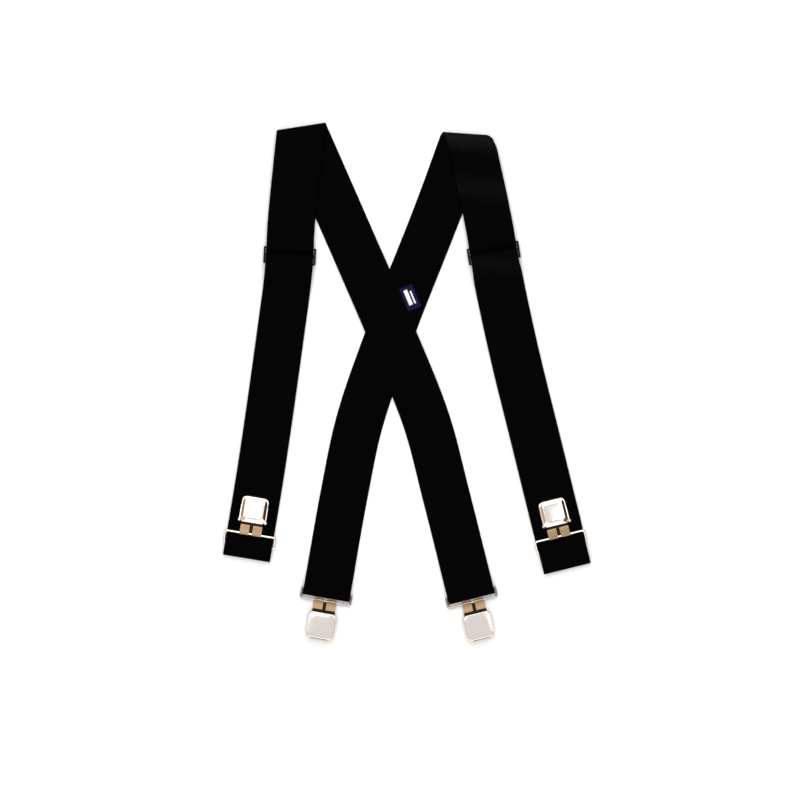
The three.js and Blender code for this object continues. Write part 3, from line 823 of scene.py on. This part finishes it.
def prism(bm, outline, low, high, place=lambda a, b, c: (a, b, c)):
    """Adds a closed outline, made solid between two levels of the third coordinate."""
    bottom = [bm.verts.new(place(a, b, low)) for a, b in outline]
    top = [bm.verts.new(place(a, b, high)) for a, b in outline]
    n = len(outline)
    for i in range(n):
        j = (i + 1) % n
        bm.faces.new((bottom[i], bottom[j], top[j], top[i]))
    bm.faces.new(bottom[::-1])
    bm.faces.new(top)


def sideways(a, b, c):
    return (c, a, b)


def arc_points(x, y, radius, start, end, n=10):
    turns = [math.radians(mix(start, end, k / n)) for k in range(n + 1)]
    return [(x + radius * math.cos(a), y + radius * math.sin(a)) for a in turns]


def rounded(corners, n=6):
    """A polygon of (x, y, corner radius) as points, the same number for every corner."""
    found = []
    count = len(corners)
    for i, (x, y, r) in enumerate(corners):
        here = Vector((x, y))
        before = (Vector(corners[i - 1][:2]) - here).normalized()
        after = (Vector(corners[(i + 1) % count][:2]) - here).normalized()
        half = before.angle(after) / 2
        cut = r / math.tan(half)
        a, b = here + before * cut, here + after * cut
        for k in range(n + 1):
            t = k / n
            p = a * (1 - t) ** 2 + here * 2 * t * (1 - t) + b * t ** 2
            found.append((p.x, p.y))
    return found


def ring_mesh(bm, sides=20):
    half_x, half_y = (RING_WIDTH - WIRE) / 2, RING_PITCH / 2
    corners = [(half_x, half_y), (-half_x, half_y), (-half_x, -half_y), (half_x, -half_y)]
    path = []
    for (x, y), start in zip(corners, (0, 90, 180, 270)):
        cx, cy = x - math.copysign(RING_BEND, x), y - math.copysign(RING_BEND, y)
        path += arc_points(cx, cy, RING_BEND, start, start + 90, 12)
    rows = []
    for i, (x, y) in enumerate(path):
        (x0, y0), (x1, y1) = path[i - 1], path[(i + 1) % len(path)]
        along = Vector((x1 - x0, y1 - y0)).normalized()
        row = []
        for k in range(sides):
            a = 2 * math.pi * k / sides
            out, up = WIRE / 2 * math.cos(a), WIRE / 2 * math.sin(a)
            row.append(bm.verts.new((x + along.y * out, y - half_y - along.x * out, up)))
        rows.append(row)
    for i, row in enumerate(rows):
        after = rows[(i + 1) % len(rows)]
        for k in range(sides):
            m = (k + 1) % sides
            bm.faces.new((row[k], row[m], after[m], after[k]))


def base_mesh(bm):
    half = BASE_WIDTH / 2
    floor = [
        (-half, 0.4 * MM),
        (half, 0.4 * MM),
        *arc_points(half - 4 * MM, BASE_LENGTH - 4 * MM, 4 * MM, 0, 90),
        *arc_points(-half + 4 * MM, BASE_LENGTH - 4 * MM, 4 * MM, 90, 180),
    ]
    prism(bm, floor, -TAB_OUTER, -TAB_INNER)
    bm.faces.ensure_lookup_table()
    # The floor's top face takes the second slot: the dark inner face, painted shade under the lever.
    bm.faces[-1].material_index = 1
    lean, tip = 80, TAB_OUTER - 1.6 * MM
    curl = [
        (1 * MM, -TAB_INNER),
        (1 * MM, -TAB_OUTER),
        *arc_points(0, 0, TAB_OUTER, 270, lean, 20),
        *arc_points(TAB_END - SHEET / 2, tip, SHEET / 2, lean, lean - 180, 8),
        *arc_points(0, 0, TAB_INNER, lean, 270, 20),
    ]
    for low, high in ((-half, -TAB_SLOT / 2), (TAB_SLOT / 2, half)):
        prism(bm, curl, low, high, sideways)
    py, pz = PIVOT
    ear = [
        (9.5 * MM, 0.2 * MM - TAB_OUTER),
        (18.5 * MM, 0.2 * MM - TAB_OUTER),
        *arc_points(py, pz, 1.9 * MM, -12, 192, 14),
    ]
    for s in (-1, 1):
        inner = s * (half - 0.15 * MM)
        outer = inner + s * SHEET
        prism(bm, ear, min(inner, outer), max(inner, outer), sideways)


def tube(bm, radius, x0, x1, y, z, sides=24):
    outline = arc_points(y, z, radius, 0, 360 - 360 / sides, sides - 1)
    prism(bm, outline, x0, x1, sideways)


def pin_mesh(bm):
    py, pz = PIVOT
    reach = LEVER_WIDTH / 2 + 0.3 * MM
    tube(bm, PIN_RADIUS, -reach, reach, py, pz)
    for s in (-1, 1):
        a, b = s * reach, s * (reach + 0.6 * MM)
        tube(bm, 1.5 * MM, min(a, b), max(a, b), py, pz)


def jaw_mesh(bm):
    py, pz = PIVOT
    top = pz - PIN_RADIUS - METAL_GAP
    wide = 10.5 * MM
    blade = [
        (-wide, py),
        (wide, py),
        *arc_points(wide - 3 * MM, BASE_LENGTH - 4.5 * MM, 3 * MM, 0, 90),
        *arc_points(-wide + 3 * MM, BASE_LENGTH - 4.5 * MM, 3 * MM, 90, 180),
    ]
    prism(bm, blade, top - SHEET, top)
    inner, outer = PIN_RADIUS + METAL_GAP, PIN_RADIUS + METAL_GAP + SHEET
    hook = arc_points(py, pz, outer, -90, 210, 26) + arc_points(py, pz, inner, 210, -90, 26)
    for s in (-1, 1):
        prism(bm, hook, s * 8.9 * MM - 1.6 * MM, s * 8.9 * MM + 1.6 * MM, sideways)


def lever_corners(inset, near, far_radius):
    """The lever's outline: narrow between the ears, then full width, with rounded far corners."""
    wide = LEVER_WIDTH / 2 - inset
    neck = BASE_WIDTH / 2 - 0.5 * MM - inset
    start = LEVER_START + near
    end = LEVER_END - inset
    small = 0.7 * MM
    return [
        (-neck, start, small),
        (neck, start, small),
        (wide, start + 3.2 * MM, 1.2 * MM),
        (wide, end, far_radius),
        (-wide, end, far_radius),
        (-wide, start + 3.2 * MM, 1.2 * MM),
    ]


def lever_mesh(bm, rise):
    """The pressed lever as nested outlines, from the rim's lower edge to the panel."""
    top = LEVER_TOP
    panel = top + rise
    crown = MM if rise > 0 else 0.15 * MM
    levels = [
        (0.0, 0.0, 5.5, top - 2.3 * MM),
        (0.0, 0.0, 5.5, top - 1.5 * MM),
        (0.1, 0.1, 5.4, top - 0.9 * MM),
        (0.35, 0.3, 5.2, top - 0.52 * MM),
        (0.7, 0.5, 5.0, top - 0.42 * MM),
        (1.15, 0.8, 4.8, top - 0.38 * MM),
        (1.4, 1.0, 4.6, mix(top - 0.38 * MM, panel, 0.07)),
        (4.0, 3.2, 3.0, panel - 0.06 * crown),
        (4.4, 3.6, 2.8, panel + 0.02 * crown),
        (6.2, 5.0, 2.2, panel + 0.08 * crown),
        (9.0, 7.6, 1.6, panel + 0.14 * crown),
    ]
    rows = []
    for inset, near, radius, z in levels:
        outline = rounded(lever_corners(inset * MM, near * MM, radius * MM))
        rows.append([bm.verts.new((x, y, z)) for x, y in outline])
    for low, high in zip(rows, rows[1:]):
        n = len(low)
        for i in range(n):
            j = (i + 1) % n
            bm.faces.new((low[i], low[j], high[j], high[i]))
    bm.faces.new(rows[-1])


def lever_extras(bm):
    """The lever's side cheeks round the pin, and the cam that presses the jaw."""
    py, pz = PIVOT
    half = LEVER_WIDTH / 2
    top = LEVER_TOP - 0.5 * MM
    cheek = [
        (LEVER_START + 0.3 * MM, top),
        *arc_points(py, pz, 1.8 * MM, 180, 300, 10),
        (LEVER_END - 10 * MM, LEVER_TOP - 2.1 * MM),
        (LEVER_END - 10 * MM, top),
    ]
    for s in (-1, 1):
        a, b = s * (half - SHEET), s * (half - 0.02 * MM)
        prism(bm, cheek, min(a, b), max(a, b), sideways)
    cam = [
        (py + 1.0 * MM, top - 0.1 * MM),
        *arc_points(py + 1.4 * MM, 3.0 * MM, 0.4 * MM, 180, 360, 6),
        (py + 1.8 * MM, top - 0.1 * MM),
    ]
    prism(bm, cam, -6 * MM, 6 * MM, sideways)


def place_of(name):
    """The clip's own frame, from its pivot on the ring's bar and that pivot's axis."""
    joint = JOINTS[f"{name}_clip_swing"]
    x = Vector(joint["axis"]).normalized()
    y = UP.cross(x)
    matrix = Matrix((x, y, UP)).transposed().to_4x4()
    matrix.translation = Vector(joint["pos_m"])
    return matrix


def metal(name, makers, matrix, body, node, material=NICKEL, edge=0.15 * MM):
    bm = bmesh.new()
    for maker in makers:
        maker(bm)
    bm.transform(matrix)
    obj = new_object(name, bm)
    obj.data.materials.append(material)
    if edge:
        bevel(obj, edge)
    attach(obj, body)
    if node:
        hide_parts(node)
    return obj


def clip(name):
    place = place_of(name)
    ring_pos = Vector(JOINTS[f"{name}_ring_swing"]["pos_m"])
    local = place.inverted() @ ring_pos
    tilt = math.atan2(-local.z, -local.y)
    ring_place = place @ Matrix.Rotation(tilt, 4, "X")
    front = name.endswith("front")
    # The back rings take the darker copy of the nickel: painted shade.
    wire = NICKEL if front else NICKEL_WIRE_PAINTED_SHADE
    metal(f"{name}_wire_ring", [ring_mesh], ring_place, f"{name}_ring", f"{name}_ring", wire, edge=0)
    # The base plate takes the darker copy of the nickel: painted shade and warm reflection.
    base = metal(f"{name}_base_plate", [base_mesh], place, f"{name}_clip", f"{name}_clip_base", NICKEL_PAINTED_SHADE)
    # Second slot: the floor's top face, painted shade under the lever.
    base.data.materials.append(INNER_PAINTED_SHADE)
    metal(f"{name}_pivot_pin", [pin_mesh], place, f"{name}_clip", f"{name}_clip_pin")
    metal(f"{name}_jaw_plate", [jaw_mesh], place, f"{name}_jaw", f"{name}_clip_jaw")
    rise = PANEL_RISE if front else BACK_PANEL_RISE
    cover = metal(f"{name}_lever_cover", [lambda bm: lever_mesh(bm, rise)], place, f"{name}_lever",
                  f"{name}_clip_lever", edge=0)
    thick = cover.modifiers.new("sheet", "SOLIDIFY")
    thick.thickness = SHEET
    thick.offset = -1
    fine = cover.modifiers.new("smooth", "SUBSURF")
    fine.levels = fine.render_levels = 2
    metal(f"{name}_lever_cheeks", [lever_extras], place, f"{name}_lever", None)
    for grip in ("base_grip", "jaw_grip"):
        node = frame["nodes"][f"{name}_{grip}"]
        node.data.materials.clear()
        node.data.materials.append(GRIP)
        bevel(node, 0.1 * MM)


def slide_mesh(bm):
    for k in (-1, 0, 1):
        tube(bm, SLIDE_BAR / 2, -SLIDE_HALF, SLIDE_HALF, k * SLIDE_PITCH, 0)
    reach = SLIDE_PITCH + SLIDE_BAR / 2 + 0.2 * MM
    wide = SLIDE_RAIL / 2
    rail = rounded([(a * wide, b * reach, 0.9 * MM) for a, b in QUARTERS])
    for s in (-1, 1):
        outline = [(x + s * SLIDE_HALF, y) for x, y in rail]
        prism(bm, outline, -MM, MM)


def adjuster(name, route, slide):
    way = route.way(slide)
    y = -way
    x = y.cross(UP)
    matrix = Matrix((x, y, UP)).transposed().to_4x4()
    matrix.translation = centre(f"{name}_adjuster_slide")
    metal(f"{name}_slide_frame", [slide_mesh], matrix, f"{name}_adjuster", f"{name}_adjuster_slide",
          ENAMEL, 0.3 * MM)


# ---- Camera ----
def camera():
    data = bpy.data.cameras.new("camera")
    data.lens = CAMERA_LENS
    data.sensor_width = CAMERA_SENSOR
    distance = CAMERA_VIEW_WIDTH * data.lens / data.sensor_width
    data.clip_end = 20
    obj = bpy.data.objects.new("camera", data)
    bpy.context.scene.collection.objects.link(obj)
    low, high = CAD_BOX
    middle = (Vector(low) + Vector(high)) / 2
    obj.location = (middle.x + CAMERA_OFFSET[0], middle.y + CAMERA_OFFSET[1], distance)
    bpy.context.scene.camera = obj


def floor_and_light():
    bm = bmesh.new()
    bmesh.ops.create_grid(bm, x_segments=1, y_segments=1, size=4)
    floor = new_object("floor", bm)
    floor.location.z = FLOOR_LEVEL
    material, _, _, shader = new_material("white_table")
    shader.inputs["Base Color"].default_value = (0.9, 0.9, 0.9, 1)
    shader.inputs["Roughness"].default_value = 0.9
    shader.inputs["Specular IOR Level"].default_value = 0.1
    floor.data.materials.append(material)

    for name, place, size, power in LIGHTS:
        data = bpy.data.lights.new(name, "AREA")
        data.size = size
        data.energy = power
        data.color = LIGHT_COLOUR
        light = bpy.data.objects.new(name, data)
        bpy.context.scene.collection.objects.link(light)
        light.location = place
        light.rotation_mode = "QUATERNION"
        aim = -UP if name.startswith("overhead") else -Vector(place)
        light.rotation_quaternion = aim.to_track_quat("-Z", "Y")

    world = bpy.data.worlds.new("studio")
    bpy.context.scene.world = world
    world.use_nodes = True
    nodes, links = world.node_tree.nodes, world.node_tree.links
    coordinate = nodes.new("ShaderNodeTexCoord")
    split = nodes.new("ShaderNodeSeparateXYZ")
    ramp = nodes.new("ShaderNodeValToRGB")
    links.new(coordinate.outputs["Generated"], split.inputs[0])
    sideways_share = math_node(nodes, links, "MULTIPLY", split.outputs[0], -0.12)
    links.new(math_node(nodes, links, "ADD", split.outputs[2], sideways_share), ramp.inputs[0])
    stops = [
        (0.0, (0.30, 0.27, 0.25, 1)),
        (0.22, (0.05, 0.03, 0.02, 1)),
        (0.40, (0.70, 0.44, 0.27, 1)),
        (0.52, (0.05, 0.025, 0.012, 1)),
        (0.66, (0.06, 0.03, 0.015, 1)),
        (0.78, (0.85, 0.55, 0.34, 1)),
        (0.88, (0.88, 0.86, 0.86, 1)),
        (1.0, (0.88, 0.88, 0.91, 1)),
    ]
    elements = ramp.color_ramp.elements
    elements[0].position, elements[0].color = stops[0]
    elements[1].position, elements[1].color = stops[-1]
    for position, colour in stops[1:-1]:
        elements.new(position).color = colour
    links.new(ramp.outputs[0], nodes["Background"].inputs[0])
    nodes["Background"].inputs[1].default_value = 1


camera()
bpy.context.scene.view_settings.view_transform = "Standard"
floor_and_light()

back_routes = {}
for side_name, plans in PLANS.items():
    back_route = back_routes[side_name] = Route(plans["back"], SHIFT)
    front_route = Route(plans["front"], SHIFT)
    fold_at = shoulder_fold(back_route, front_route, plans["curl"], plans["sheen_bands"])
    back_strap(side_name, back_route, fold_at, side_name == "left")
    fold_piece(side_name, back_route, front_route, fold_at)
    slide_at = front_strap(side_name, front_route, fold_at, plans)
    adjuster(side_name, front_route, slide_at)
    for end in ("front", "back"):
        clip(f"{side_name}_{end}")
crossing_stitches(back_routes["left"], back_routes["right"])
label(back_routes["left"])
